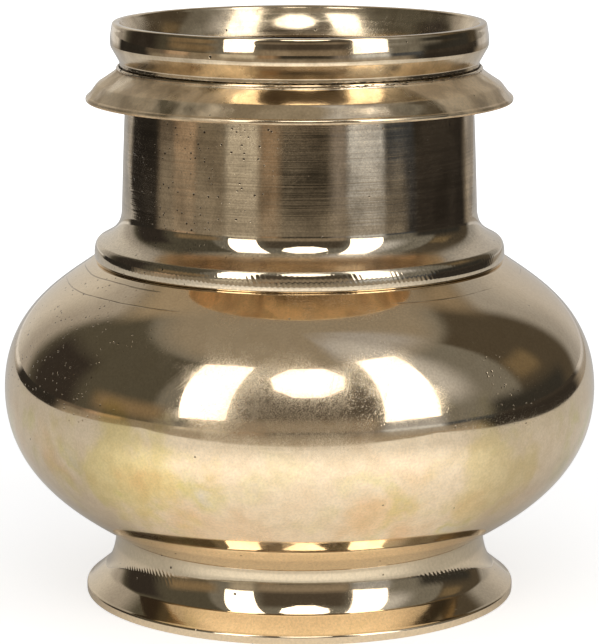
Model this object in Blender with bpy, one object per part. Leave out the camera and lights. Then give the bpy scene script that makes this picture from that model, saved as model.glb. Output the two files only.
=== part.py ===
"""Lota: a brass water pot, turned from six castings that are brazed together.

Units are metres and +Z is up.  The origin is the middle of the foot's resting face.
Every piece is turned about Z from an outline of (radius, height) points, with height 0
at the seat where its casting stands on the one below.
"""

import math

import bmesh
import bpy
from mathutils import Vector
from mathutils.geometry import interpolate_bezier

# Fits shared by all the joints
SEAM_GAP = 0.0003
EDGE_ROUND = 0.0004

# Fineness of the meshes
SEGMENTS = 40
MERGE_DISTANCE = 0.000001
SHARP_ANGLE = math.radians(30.0)

# Foot ring
FOOT_HEIGHT = 0.0130
FOOT_WAIST_RADIUS = 0.0370
FOOT_WAIST_DROP = 0.0006
FOOT_TOP_SPREAD = 0.0003
FOOT_FLARE = 0.0056
FOOT_LIP_HEIGHT = 0.0017
FOOT_REST_WIDTH = 0.0034
FOOT_WALL = 0.0022

# Belly: a lower bowl and an upper shoulder that meet at the widest circle
BELLY_RADIUS = 0.0590
BELLY_WALL = 0.0022
BOWL_RISE = 0.0287
SHOULDER_RISE = 0.0257
SHOULDER_STEP = 0.0005
SHOULDER_SEAT_THICKNESS = 0.0022
BELLY_LAP = 0.0032
BELLY_LIP = 0.0010
BELLY_FILLER_HEIGHT = 0.0008

# Floor of the bowl and the spigot that locates it in the foot
FLOOR_DROP = 0.0012
FLOOR_THICKNESS = 0.0026
FOOT_SPIGOT_LENGTH = 0.0032
FOOT_SPIGOT_WALL = 0.0018

# Neck with the ring that it stands on
NECK_LENGTH = 0.0332
NECK_RADIUS = 0.0353
NECK_TAPER = 0.0010
NECK_WALL = 0.0022
RING_STEP = 0.0055
RING_DRAFT = 0.0007
RING_HEIGHT = 0.0042
COVE_HEIGHT = 0.0070
NECK_SPIGOT_WALL = 0.0018
NECK_SPIGOT_PROUD = 0.0022

# Drip flange under the rim
FLANGE_LEDGE = 0.0009
FLANGE_HEIGHT = 0.0053
FLANGE_DROP = 0.0015
FLANGE_EDGE = 0.0009
FLANGE_OVERHANG = 0.0079
FLANGE_TOP_WALL = 0.0023

# Rim around the mouth
RIM_HEIGHT = 0.0087
RIM_LAP = 0.0024
RIM_POCKET_HEIGHT = 0.0010
RIM_POCKET_DEPTH = 0.0014
RIM_GROOVE_HEIGHT = 0.0031
RIM_BAND_STEP = 0.0012
RIM_LIP_DROP = 0.0014
RIM_LIP_ROUND = 0.0009
RIM_LIP_WIDTH = 0.0020

# Filler metal left at the joints
FILLET_LEG = 0.0014
RIM_FILLER_RECESS = 0.0004

# Shapes of the curves: the angle in degrees and the pull with which each leaves its start, the same
# where it arrives at its end, and its points; 0 points outward, 90 up, a pull is a share of the chord
FOOT_FLARE_CURVE = (138.0, 0.41, 90.0, 0.58, 8)
FOOT_HOLLOW_CURVE = (270.0, 0.35, 315.0, 0.40, 6)
BOWL_CURVE = (30.6, 0.29, 90.0, 0.44, 14)
FLOOR_CURVE = (208.0, 0.06, 180.0, 0.40, 5)
SHOULDER_CURVE = (90.0, 0.49, 144.5, 0.27, 13)
RING_CURVE = (93.0, 0.45, 145.0, 0.35, 6)
COVE_CURVE = (152.0, 0.30, 90.0, 0.58, 7)
FLANGE_CURVE = (136.0, 0.33, 95.0, 0.29, 6)
GROOVE_CURVE = (90.0, 0.75, 12.0, 0.30, 7)
BAND_CURVE = (82.0, 0.35, 98.0, 0.35, 4)
LIP_CURVE = (98.0, 0.40, 180.0, 0.40, 4)
MOUTH_CURVE = (262.0, 0.35, 270.0, 0.35, 5)

# Metals, as red, green, blue and roughness: pale polished brass, deeper gold at the foot, dark filler
BELLY_METAL = (0.84, 0.67, 0.44, 0.12)
NECK_METAL = (0.76, 0.61, 0.42, 0.16)
RIM_METAL = (0.80, 0.65, 0.44, 0.12)
FOOT_METAL = (0.80, 0.60, 0.36, 0.16)
FILLER_METAL = (0.30, 0.22, 0.12, 0.55)

# Radii and heights that follow from the sizes above
FOOT_LIP_RADIUS = FOOT_WAIST_RADIUS + FOOT_FLARE
FOOT_TOP_RADIUS = FOOT_WAIST_RADIUS + FOOT_TOP_SPREAD
FOOT_BORE = FOOT_WAIST_RADIUS - FOOT_WALL
FOOT_SPIGOT_RADIUS = FOOT_BORE - SEAM_GAP
BELLY_BORE = BELLY_RADIUS - BELLY_WALL
BELLY_REBATE_RADIUS = BELLY_RADIUS - BELLY_LIP
BELLY_REBATE_DEPTH = BELLY_LAP + BELLY_FILLER_HEIGHT + 2.0 * SEAM_GAP
RING_RADIUS = NECK_RADIUS + RING_STEP
SHOULDER_TOP_RADIUS = RING_RADIUS + SHOULDER_STEP
SHOULDER_LEDGE_HEIGHT = SHOULDER_RISE - SHOULDER_SEAT_THICKNESS
NECK_BORE = NECK_RADIUS - NECK_WALL
NECK_SPIGOT_RADIUS = NECK_BORE + NECK_SPIGOT_WALL
SHOULDER_BORE = NECK_SPIGOT_RADIUS + SEAM_GAP
NECK_TOP_RADIUS = NECK_RADIUS - NECK_TAPER
MOUTH_BORE = NECK_TOP_RADIUS - NECK_WALL
COLLAR_RADIUS = NECK_TOP_RADIUS - FLANGE_LEDGE
COLLAR_BORE = COLLAR_RADIUS + SEAM_GAP
FLANGE_RADIUS = NECK_TOP_RADIUS + FLANGE_OVERHANG
FLANGE_TOP_RADIUS = COLLAR_BORE + FLANGE_TOP_WALL
RIM_SEAT_RADIUS = FLANGE_TOP_RADIUS - RIM_POCKET_DEPTH
RIM_BAND_RADIUS = FLANGE_TOP_RADIUS + RIM_BAND_STEP

# Heights of the seats above the surface that the pot stands on
BOWL_SEAT = FOOT_HEIGHT
SHOULDER_SEAT = BOWL_SEAT + BOWL_RISE
NECK_SEAT = SHOULDER_SEAT + SHOULDER_RISE
FLANGE_SEAT = NECK_SEAT + NECK_LENGTH
RIM_SEAT = FLANGE_SEAT + FLANGE_HEIGHT


def curve(start, end, shape):
    """Points along a smooth curve from start to end; shape is one of the curves above."""
    leave, leave_pull, arrive, arrive_pull, count = shape
    chord = math.dist(start, end)
    corners = [Vector((*start, 0.0)), Vector((*start, 0.0)), Vector((*end, 0.0)), Vector((*end, 0.0))]
    corners[1].x += leave_pull * chord * math.cos(math.radians(leave))
    corners[1].y += leave_pull * chord * math.sin(math.radians(leave))
    corners[2].x -= arrive_pull * chord * math.cos(math.radians(arrive))
    corners[2].y -= arrive_pull * chord * math.sin(math.radians(arrive))
    return [(point.x, point.y) for point in interpolate_bezier(*corners, count)]


def quarter_round(centre, first_angle):
    """A rounded edge of three points: a quarter turn that starts at first_angle, in degrees."""
    points = []
    for step in range(3):
        angle = math.radians(first_angle + 45.0 * step)
        points.append((centre[0] + EDGE_ROUND * math.cos(angle), centre[1] + EDGE_ROUND * math.sin(angle)))
    return points


def offset(points, distance):
    """The outline moved sideways, to the left of its run, by a wall's thickness."""
    moved = []
    for index, (radius, height) in enumerate(points):
        before = points[max(index - 1, 0)]
        after = points[min(index + 1, len(points) - 1)]
        run = Vector((after[0] - before[0], after[1] - before[1])).normalized()
        moved.append((radius - distance * run.y, height + distance * run.x))
    return moved


def radius_at(points, height):
    """Radius of an outline that climbs steadily, at the given height."""
    for (low_radius, low), (high_radius, high) in zip(points, points[1:]):
        if low <= height <= high:
            share = (height - low) / (high - low)
            return low_radius + share * (high_radius - low_radius)
    raise ValueError(f"the outline does not reach the height {height}")


def brass(name, metal):
    """A metal of the given colour and roughness; metal is one of the metals above."""
    *colour, roughness = metal
    material = bpy.data.materials.new(name)
    material.use_nodes = True
    shader = material.node_tree.nodes["Principled BSDF"]
    shader.inputs["Base Color"].default_value = (*colour, 1.0)
    shader.inputs["Metallic"].default_value = 1.0
    shader.inputs["Roughness"].default_value = roughness
    return material


def turned(name, outline, seat, material, pot):
    """A piece turned about Z; an outline that starts and ends on the axis is solid through the middle."""
    bm = bmesh.new()
    corners = [bm.verts.new((radius, 0.0, height)) for radius, height in outline]
    following = corners[1:]
    if outline[0][0] > 0.0:
        following = following + corners[:1]
    edges = [bm.edges.new(pair) for pair in zip(corners, following)]
    bmesh.ops.spin(bm, geom=corners + edges, cent=(0.0, 0.0, 0.0), axis=(0.0, 0.0, 1.0),
                   angle=math.tau, steps=SEGMENTS, use_merge=True)
    bmesh.ops.remove_doubles(bm, verts=bm.verts, dist=MERGE_DISTANCE)
    bmesh.ops.recalc_face_normals(bm, faces=bm.faces)
    mesh = bpy.data.meshes.new(name)
    bm.to_mesh(mesh)
    bm.free()
    mesh.shade_smooth()
    mesh.set_sharp_from_angle(angle=SHARP_ANGLE)
    mesh.materials.append(material)
    piece = bpy.data.objects.new(name, mesh)
    piece.location.z = seat
    piece.parent = pot
    bpy.context.scene.collection.objects.link(piece)


def foot_outline():
    """Flared ring: flat resting face, thin lip, hollow flare up to a waist, bore for the bowl's spigot."""
    waist = (FOOT_WAIST_RADIUS, FOOT_HEIGHT - FOOT_WAIST_DROP)
    lip = (FOOT_LIP_RADIUS - EDGE_ROUND, FOOT_LIP_HEIGHT)
    rest = (FOOT_LIP_RADIUS - FOOT_REST_WIDTH, 0.0)
    bore_end = (FOOT_BORE, FOOT_HEIGHT - FOOT_SPIGOT_LENGTH - FILLET_LEG - 2.0 * SEAM_GAP)
    outline = quarter_round((lip[0], EDGE_ROUND), -90.0)
    outline += quarter_round((lip[0], FOOT_LIP_HEIGHT - EDGE_ROUND), 0.0)
    outline += curve(lip, waist, FOOT_FLARE_CURVE)[1:]
    outline += [(FOOT_TOP_RADIUS, FOOT_HEIGHT), (FOOT_BORE, FOOT_HEIGHT)]
    outline += curve(bore_end, rest, FOOT_HOLLOW_CURVE)
    return outline


def bowl_outline():
    """Lower half of the belly with its floor, and the spigot under it that enters the foot."""
    crease = (FOOT_TOP_RADIUS, SEAM_GAP)
    outer = curve(crease, (BELLY_RADIUS, BOWL_RISE), BOWL_CURVE)
    inner = offset(outer, BELLY_WALL)
    rebate = BOWL_RISE - BELLY_REBATE_DEPTH
    hollow = [point for point in reversed(inner) if point[1] < rebate]
    floor_top = FLOOR_THICKNESS - FLOOR_DROP
    spigot_bore = FOOT_SPIGOT_RADIUS - FOOT_SPIGOT_WALL
    outline = [(0.0, -FLOOR_DROP), (spigot_bore, -FLOOR_DROP), (spigot_bore, -FOOT_SPIGOT_LENGTH)]
    outline += [(FOOT_SPIGOT_RADIUS, -FOOT_SPIGOT_LENGTH), (FOOT_SPIGOT_RADIUS, SEAM_GAP)]
    outline += outer
    outline += [(BELLY_REBATE_RADIUS, BOWL_RISE), (BELLY_REBATE_RADIUS, rebate)]
    outline.append((radius_at(inner, rebate), rebate))
    outline += hollow
    outline += curve(hollow[-1], (0.0, floor_top), FLOOR_CURVE)[1:]
    return outline


def shoulder_outline():
    """Upper half of the belly, with a tongue that laps inside the bowl and a flat seat for the neck."""
    outer = curve((BELLY_RADIUS, SEAM_GAP), (SHOULDER_TOP_RADIUS, SHOULDER_RISE), SHOULDER_CURVE)
    inner = offset(outer, BELLY_WALL)
    hollow = [point for point in reversed(inner) if point[1] < SHOULDER_LEDGE_HEIGHT]
    tongue_radius = BELLY_REBATE_RADIUS - SEAM_GAP
    outline = [(BELLY_BORE, -BELLY_LAP), (tongue_radius, -BELLY_LAP), (tongue_radius, SEAM_GAP)]
    outline += outer
    outline += [(SHOULDER_BORE, SHOULDER_RISE), (SHOULDER_BORE, SHOULDER_LEDGE_HEIGHT)]
    outline.append((radius_at(inner, SHOULDER_LEDGE_HEIGHT), SHOULDER_LEDGE_HEIGHT))
    outline += hollow
    return outline


def neck_outline():
    """Tapering neck: spigot into the shoulder, base ring, cove, and a thin collar through flange and rim."""
    ring_top = (RING_RADIUS - RING_DRAFT - EDGE_ROUND, RING_HEIGHT)
    cove_top = (NECK_RADIUS, RING_HEIGHT + COVE_HEIGHT)
    spigot_end = -SHOULDER_SEAT_THICKNESS - NECK_SPIGOT_PROUD
    collar_top = NECK_LENGTH + FLANGE_HEIGHT + RIM_LAP
    outline = [(NECK_BORE, spigot_end), (NECK_SPIGOT_RADIUS, spigot_end), (NECK_SPIGOT_RADIUS, SEAM_GAP)]
    outline += quarter_round((RING_RADIUS - EDGE_ROUND, SEAM_GAP + EDGE_ROUND), -90.0)
    outline += curve(outline[-1], ring_top, RING_CURVE)[1:]
    outline += curve(ring_top, cove_top, COVE_CURVE)[1:]
    outline += [(NECK_TOP_RADIUS, NECK_LENGTH), (COLLAR_RADIUS, NECK_LENGTH)]
    outline += [(COLLAR_RADIUS, collar_top), (MOUTH_BORE, collar_top), (MOUTH_BORE, NECK_LENGTH)]
    return outline


def flange_underside(radius):
    """Height of the flange's underside, which rises from the edge towards the neck."""
    inner = NECK_TOP_RADIUS + SEAM_GAP
    outer = FLANGE_RADIUS - EDGE_ROUND
    return SEAM_GAP - (SEAM_GAP + FLANGE_DROP) * (radius - inner) / (outer - inner)


def flange_outline():
    """Drip flange: a thin flared skirt whose bore slips over the neck's collar."""
    inner = NECK_TOP_RADIUS + SEAM_GAP
    edge = (FLANGE_RADIUS - EDGE_ROUND, FLANGE_EDGE - FLANGE_DROP)
    outline = [(COLLAR_BORE, SEAM_GAP), (inner, flange_underside(inner))]
    outline += quarter_round((edge[0], EDGE_ROUND - FLANGE_DROP), -90.0)
    outline += quarter_round((edge[0], edge[1] - EDGE_ROUND), 0.0)
    outline += curve(edge, (FLANGE_TOP_RADIUS, FLANGE_HEIGHT), FLANGE_CURVE)[1:]
    outline.append((COLLAR_BORE, FLANGE_HEIGHT))
    return outline


def rim_outline():
    """Mouth rim: pocket for the filler, groove, upright band, round lip and a mouth that opens upwards."""
    groove_top = RIM_POCKET_HEIGHT + RIM_GROOVE_HEIGHT
    band_top = (RIM_BAND_RADIUS, RIM_HEIGHT - RIM_LIP_DROP)
    lip = (RIM_BAND_RADIUS - RIM_LIP_ROUND, RIM_HEIGHT)
    mouth = (RIM_BAND_RADIUS - RIM_LIP_WIDTH, RIM_HEIGHT - EDGE_ROUND)
    throat = RIM_LAP + SEAM_GAP
    outline = [(COLLAR_BORE, SEAM_GAP), (RIM_SEAT_RADIUS, SEAM_GAP), (RIM_SEAT_RADIUS, RIM_POCKET_HEIGHT)]
    outline += curve((FLANGE_TOP_RADIUS, RIM_POCKET_HEIGHT), (RIM_BAND_RADIUS, groove_top), GROOVE_CURVE)
    outline += curve((RIM_BAND_RADIUS, groove_top + EDGE_ROUND), band_top, BAND_CURVE)
    outline += curve(band_top, lip, LIP_CURVE)[1:]
    outline.append((mouth[0] + EDGE_ROUND, RIM_HEIGHT))
    outline += curve(mouth, (MOUTH_BORE, throat), MOUTH_CURVE)
    outline.append((COLLAR_BORE, throat))
    return outline


def rim_filler_outline():
    """Filler ring lying in the open pocket between the rim and the flange."""
    inner = RIM_SEAT_RADIUS + SEAM_GAP
    outer = FLANGE_TOP_RADIUS - RIM_FILLER_RECESS
    top = RIM_POCKET_HEIGHT - SEAM_GAP
    return [(inner, SEAM_GAP), (outer, SEAM_GAP), (outer, top), (inner, top)]


def flange_filler_outline():
    """Fillet in the corner between the neck and the underside of the flange."""
    inner = NECK_TOP_RADIUS + 2.0 * SEAM_GAP
    outer = inner + FILLET_LEG
    inner_top = flange_underside(inner) - SEAM_GAP
    outer_top = flange_underside(outer) - SEAM_GAP
    return [(inner, inner_top - FILLET_LEG), (outer, outer_top), (inner, inner_top)]


def shoulder_filler_outline():
    """Fillet inside the belly, in the corner between the neck's spigot and the shoulder's flat underside."""
    top = SHOULDER_LEDGE_HEIGHT - SEAM_GAP
    return [(SHOULDER_BORE, top - FILLET_LEG), (SHOULDER_BORE + FILLET_LEG, top), (SHOULDER_BORE, top)]


def belly_filler_outline():
    """Filler ring in the rebate of the bowl, under the shoulder's tongue."""
    outer = BELLY_REBATE_RADIUS - SEAM_GAP
    top = -BELLY_LAP - SEAM_GAP
    low = top - BELLY_FILLER_HEIGHT
    return [(BELLY_BORE, low), (outer, low), (outer, top), (BELLY_BORE, top)]


def foot_filler_outline():
    """Fillet under the bowl's spigot, in the corner that it makes with the bore of the foot."""
    top = -FOOT_SPIGOT_LENGTH - SEAM_GAP
    outer = FOOT_SPIGOT_RADIUS
    return [(outer - FILLET_LEG, top), (outer, top - FILLET_LEG), (outer, top)]


def main():
    for item in list(bpy.data.objects):
        bpy.data.objects.remove(item, do_unlink=True)
    pot = bpy.data.objects.new("lota", None)
    bpy.context.scene.collection.objects.link(pot)
    pieces = (
        ("foot_ring", foot_outline, 0.0, FOOT_METAL),
        ("lower_belly", bowl_outline, BOWL_SEAT, BELLY_METAL),
        ("upper_belly", shoulder_outline, SHOULDER_SEAT, BELLY_METAL),
        ("neck", neck_outline, NECK_SEAT, NECK_METAL),
        ("drip_flange", flange_outline, FLANGE_SEAT, RIM_METAL),
        ("mouth_rim", rim_outline, RIM_SEAT, RIM_METAL),
        ("rim_braze", rim_filler_outline, RIM_SEAT, FILLER_METAL),
        ("flange_braze", flange_filler_outline, FLANGE_SEAT, FILLER_METAL),
        ("shoulder_braze", shoulder_filler_outline, SHOULDER_SEAT, FILLER_METAL),
        ("belly_braze", belly_filler_outline, SHOULDER_SEAT, FILLER_METAL),
        ("foot_braze", foot_filler_outline, BOWL_SEAT, FILLER_METAL),
    )
    for name, outline, seat, metal in pieces:
        turned(name, outline(), seat, brass(f"{name}_metal", metal), pot)


main()
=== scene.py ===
"""Looks of the lota: its six turned castings, the filler in their seams, and a small photo stage.

Units are metres and +Z is up; -Y faces the viewer.  Angles are in degrees unless a name says otherwise.
"""

import math

import bmesh
import bpy
from bpy.props import FloatProperty, FloatVectorProperty, IntProperty, PointerProperty
from mathutils import Matrix, Vector, noise
from mathutils.geometry import interpolate_bezier


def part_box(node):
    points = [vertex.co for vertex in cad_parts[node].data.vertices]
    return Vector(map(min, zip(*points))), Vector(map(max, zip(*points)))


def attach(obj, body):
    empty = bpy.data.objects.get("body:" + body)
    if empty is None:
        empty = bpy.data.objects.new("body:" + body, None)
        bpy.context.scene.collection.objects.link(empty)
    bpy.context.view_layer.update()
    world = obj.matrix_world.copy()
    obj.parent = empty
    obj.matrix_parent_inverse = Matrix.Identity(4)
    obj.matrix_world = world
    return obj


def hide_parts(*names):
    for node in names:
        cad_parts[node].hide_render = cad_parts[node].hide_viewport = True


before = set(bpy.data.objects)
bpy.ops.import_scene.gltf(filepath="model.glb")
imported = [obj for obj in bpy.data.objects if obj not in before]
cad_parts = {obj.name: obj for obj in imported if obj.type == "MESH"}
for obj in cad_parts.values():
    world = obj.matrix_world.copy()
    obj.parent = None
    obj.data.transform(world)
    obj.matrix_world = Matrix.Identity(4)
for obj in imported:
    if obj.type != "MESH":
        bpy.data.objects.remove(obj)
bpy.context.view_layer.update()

bl_info = {
    "name": "Lota",
    "version": (1, 0, 0),
    "blender": (4, 5, 0),
    "location": "View3D > Sidebar > Lota",
    "description": "Turned brass water pot with worn polish, on a small photo stage",
    "category": "Object",
}

BODY = "root"

# Fineness of the meshes
MERGE_DISTANCE = 0.000001
SHARP_ANGLE = math.radians(40.0)
CORNER_POINTS = 6
CORNER_PULL = 0.6
DOUBLINGS = 4
FILLER_SEGMENTS = 720

# Hand finishing: the walls wander outside this radius, in waves per metre
WANDER_FROM = 0.02
WANDER_WAVES = (55.0, 140.0)

# Filler: spacing of its lumps
LUMP_SPACING = 0.0005

# Walls and seams
WALL = 0.0022
SEAM = 0.0003
CRACK = 0.0001

# Foot: radii, and points of its section as radius and height
FOOT_WAIST = 0.0370
FOOT_BORE = 0.0348
FOOT_BORE_LENGTH = 0.0052
FOOT_REST = 0.0034
FOOT_BURR = 0.0005
FOOT_CREASE = (0.03955, 0.00445)
FOOT_FLARE = (0.03907, 0.00493)

# Belly: spigot, floor, lap joint and the seat for the neck
SPIGOT_LENGTH = 0.0032
SPIGOT_WALL = 0.0018
FLOOR_BELOW_SEAT = 0.0012
FLOOR_ABOVE_SEAT = 0.0014
BELLY_LIP = 0.0010
BELLY_LAP = 0.0032
REBATE_DEPTH = 0.0046
SEAT_THICKNESS = 0.0022
SHOULDER_BORE = 0.0352

# Neck, flange and rim: radii, heights, and points of their sections
NECK_SPIGOT_BORE = 0.0331
NECK_SPIGOT = 0.0349
NECK_SPIGOT_END = 0.0022
NECK_FOOT = 0.0353
NECK_TOP = 0.0343
COLLAR = 0.0334
COLLAR_TOP = 0.1083
MOUTH_BORE = 0.03295
FLANGE_SEAT = 0.1006
FLANGE_DROP = 0.0015
FLANGE_KNUCKLE = (0.0397, 0.10264)
FLANGE_BROW = (0.0364, 0.10492)
FLANGE_LINE = 0.03614
FLANGE_LINE_DEPTH = 0.00011
RIM_UNDERCUT = 0.0018

# Filler rings: node, rounding of the corners, corners of the section
FILLER_SECTIONS = (
    ("rim_braze", 0.00005, ((0.0349, 0.10592), (0.0356, 0.10592), (0.0356, 0.10608), (0.0349, 0.10608))),
    ("flange_braze", 0.00018, ((0.0349, 0.09913), (0.0363, 0.10018), (0.0349, 0.10053))),
    ("shoulder_braze", 0.00018, ((0.0352, 0.0635), (0.0366, 0.0649), (0.0352, 0.0649))),
    ("belly_braze", 0.00018, ((0.0568, 0.0374), (0.0577, 0.0374), (0.0577, 0.0382), (0.0568, 0.0382))),
    ("foot_braze", 0.00018, ((0.0331, 0.0095), (0.0345, 0.0081), (0.0345, 0.0095))),
)


class LotaShape(bpy.types.PropertyGroup):
    """Sizes of the pot; the defaults are those of the solid parts."""

    segments: IntProperty(name="Segments", description="Flats around each casting", default=320, min=48)
    foot_radius: FloatProperty(
        name="Foot radius", description="Outer radius of the foot's lip",
        default=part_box("foot_ring")[1].x, unit="LENGTH")
    foot_top: FloatProperty(
        name="Foot top", description="Height at which the bowl stands on the foot",
        default=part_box("foot_ring")[1].z, unit="LENGTH")
    belly_radius: FloatProperty(
        name="Belly radius", description="Radius of the widest circle",
        default=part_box("lower_belly")[1].x, unit="LENGTH")
    equator: FloatProperty(
        name="Equator", description="Height of the widest circle",
        default=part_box("lower_belly")[1].z, unit="LENGTH")
    shoulder_top: FloatProperty(
        name="Shoulder top", description="Height at which the neck stands on the shoulder",
        default=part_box("upper_belly")[1].z, unit="LENGTH")
    ring_radius: FloatProperty(
        name="Ring radius", description="Radius of the ring at the neck's base",
        default=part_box("neck")[1].x, unit="LENGTH")
    flange_radius: FloatProperty(
        name="Flange radius", description="Radius of the drip flange's edge",
        default=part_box("drip_flange")[1].x, unit="LENGTH")
    rim_seat: FloatProperty(
        name="Rim seat", description="Height at which the rim stands on the flange",
        default=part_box("drip_flange")[1].z, unit="LENGTH")
    rim_radius: FloatProperty(
        name="Rim radius", description="Radius of the rim's upright band",
        default=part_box("mouth_rim")[1].x, unit="LENGTH")
    rim_top: FloatProperty(
        name="Rim top", description="Height of the lip",
        default=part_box("mouth_rim")[1].z, unit="LENGTH")
    unevenness: FloatProperty(
        name="Unevenness", description="How far the hand-finished walls wander from a true circle",
        default=0.00003, unit="LENGTH")
    grit: FloatProperty(
        name="Grit", description="Size of the lumps in the filler",
        default=0.00016, unit="LENGTH")


class LotaFinish(bpy.types.PropertyGroup):
    """Colours and polish of the metals."""

    brass: FloatVectorProperty(
        name="Polished brass", description="Colour of the polished belly", subtype="COLOR",
        default=(0.92, 0.745, 0.52), min=0.0, max=1.0)
    neck_brass: FloatVectorProperty(
        name="Neck brass", description="Colour of the neck, which is duller", subtype="COLOR",
        default=(0.87, 0.725, 0.525), min=0.0, max=1.0)
    rim_brass: FloatVectorProperty(
        name="Rim brass", description="Colour of the rim and the flange", subtype="COLOR",
        default=(0.90, 0.74, 0.525), min=0.0, max=1.0)
    foot_brass: FloatVectorProperty(
        name="Foot brass", description="Colour of the foot", subtype="COLOR",
        default=(0.905, 0.735, 0.51), min=0.0, max=1.0)
    filler: FloatVectorProperty(
        name="Filler", description="Colour of the oxidised filler in the seams", subtype="COLOR",
        default=(0.20, 0.145, 0.08), min=0.0, max=1.0)
    polish: FloatProperty(
        name="Polish", description="Roughness of the clean polished metal", default=0.035, subtype="FACTOR")
    scratching: FloatProperty(
        name="Scratching", description="Strength of the hairline scratches", default=1.0, subtype="FACTOR")
    staining: FloatProperty(
        name="Staining", description="Strength of the stains on the lower belly",
        default=0.8, subtype="FACTOR")


class LotaStage(bpy.types.PropertyGroup):
    """Table, room and lamps around the pot."""

    table: FloatVectorProperty(
        name="Table", description="Colour of the table", subtype="COLOR",
        default=(0.62, 0.62, 0.62), min=0.0, max=1.0)
    table_lift: FloatProperty(
        name="Table lift", description="White added to the table as the eye sees it", default=0.60)
    front_lift: FloatProperty(
        name="Front lift", description="White added to the table's front as the metal mirrors it",
        default=0.68)
    side_lift: FloatProperty(
        name="Side lift", description="White added to the table's sides as the metal mirrors them",
        default=0.06)
    back_lift: FloatProperty(
        name="Back lift", description="White added to the table's back as the metal mirrors it",
        default=0.15)
    fill: FloatProperty(name="Fill light", description="Strength of the light from all round", default=0.55)
    lamps: FloatProperty(name="Lamps", description="Brightness of the three soft lamps", default=2.6)


# Turned outlines, as points of radius and height; short lengths in them round or chamfer an edge

def curve(start, end, leave, leave_pull, arrive, arrive_pull, count):
    """Points of a smooth curve; angles count from outward (0) to up (90), pulls are shares of the chord."""
    chord = math.dist(start, end)
    corners = [Vector((*start, 0.0)), Vector((*start, 0.0)), Vector((*end, 0.0)), Vector((*end, 0.0))]
    corners[1].x += leave_pull * chord * math.cos(math.radians(leave))
    corners[1].y += leave_pull * chord * math.sin(math.radians(leave))
    corners[2].x -= arrive_pull * chord * math.cos(math.radians(arrive))
    corners[2].y -= arrive_pull * chord * math.sin(math.radians(arrive))
    return [(point.x, point.y) for point in interpolate_bezier(*corners, count)]


def corner(before, tip, after, size):
    """A rounded corner that starts and ends at the given distance from its tip."""
    here = Vector((*tip, 0.0))
    start = here + (Vector((*before, 0.0)) - here).normalized() * size
    end = here + (Vector((*after, 0.0)) - here).normalized() * size
    points = interpolate_bezier(start, start.lerp(here, CORNER_PULL), end.lerp(here, CORNER_PULL), end,
                                CORNER_POINTS)
    return [(point.x, point.y) for point in points]


def wall_behind(points, thickness):
    """The points moved to the left of their run by a wall's thickness."""
    moved = []
    for index, (radius, height) in enumerate(points):
        before = points[max(index - 1, 0)]
        after = points[min(index + 1, len(points) - 1)]
        run = Vector((after[0] - before[0], after[1] - before[1])).normalized()
        moved.append((radius - thickness * run.y, height + thickness * run.x))
    return moved


def radius_at(points, height):
    """Radius of a run that climbs steadily, at the given height."""
    for (low_radius, low), (high_radius, high) in zip(points, points[1:]):
        if low <= height <= high:
            return low_radius + (high_radius - low_radius) * (height - low) / (high - low)
    raise ValueError(f"the run does not reach the height {height}")


def foot_outline(shape):
    """Lip, bevel up to a crease, hollow flare, top face, bore and the hollow underneath."""
    lip = shape.foot_radius + FOOT_BURR
    top = shape.foot_top
    rest = (lip - FOOT_REST, 0.0)
    edge = (lip - 0.00038, 0.00188)
    waist = (FOOT_WAIST, top - 0.0005)
    points = corner((lip - 0.001, 0.0), (lip, 0.0), (lip, 0.001), 0.0004)
    points += corner((lip, 0.0008), (lip, 0.00165), edge, 0.0003)
    points += curve(edge, FOOT_CREASE, 141.0, 0.30, 141.0, 0.30, 16)
    points += curve(FOOT_CREASE, FOOT_FLARE, 141.0, 0.35, 126.0, 0.35, 10)[1:]
    points += curve(FOOT_FLARE, waist, 126.0, 0.20, 92.0, 0.50, 44)[1:]
    points += corner(waist, (FOOT_WAIST + 0.0001, top), (FOOT_BORE, top), 0.00015)
    points += [(FOOT_BORE, top)]
    points += curve((FOOT_BORE, top - FOOT_BORE_LENGTH), rest, 270.0, 0.35, 315.0, 0.40, 14)
    return points


def bowl_outline(shape):
    """Lower half of the belly: spigot, underside, outer wall, rebate, inner wall and floor."""
    seat = shape.foot_top
    spigot = FOOT_BORE - SEAM
    bore = spigot - SPIGOT_WALL
    outer = curve((FOOT_WAIST + 0.0003, seat + CRACK), (shape.belly_radius, shape.equator),
                  30.6, 0.29, 90.0, 0.44, 84)
    inner = wall_behind(outer, WALL)
    rebate = shape.equator - REBATE_DEPTH
    hollow = [point for point in reversed(inner) if point[1] < rebate]
    lip = shape.belly_radius - BELLY_LIP
    underside = seat - FLOOR_BELOW_SEAT
    points = [(0.0, underside), (bore, underside), (bore, seat - SPIGOT_LENGTH)]
    points += [(spigot, seat - SPIGOT_LENGTH), (spigot, seat + CRACK)]
    points += outer
    points += [(lip, shape.equator), (lip, rebate), (radius_at(inner, rebate), rebate)]
    points += hollow
    points += curve(hollow[-1], (0.0, seat + FLOOR_ABOVE_SEAT), 208.0, 0.06, 180.0, 0.40, 16)[1:]
    return points


def shoulder_outline(shape):
    """Upper half of the belly: tongue, outer wall, seat for the neck, ledge and inner wall."""
    top = shape.shoulder_top
    tongue = shape.belly_radius - BELLY_LIP - SEAM
    lap = shape.equator - BELLY_LAP
    ledge = top - SEAT_THICKNESS
    outer = curve((shape.belly_radius, shape.equator), (shape.ring_radius + 0.0005, top),
                  90.0, 0.49, 144.5, 0.27, 84)
    inner = wall_behind(outer, WALL)
    points = [(shape.belly_radius - WALL, lap), (tongue, lap), (tongue, shape.equator)]
    points += outer
    points += [(SHOULDER_BORE, top), (SHOULDER_BORE, ledge), (radius_at(inner, ledge), ledge)]
    points += [point for point in reversed(inner) if point[1] < ledge]
    return points


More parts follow.
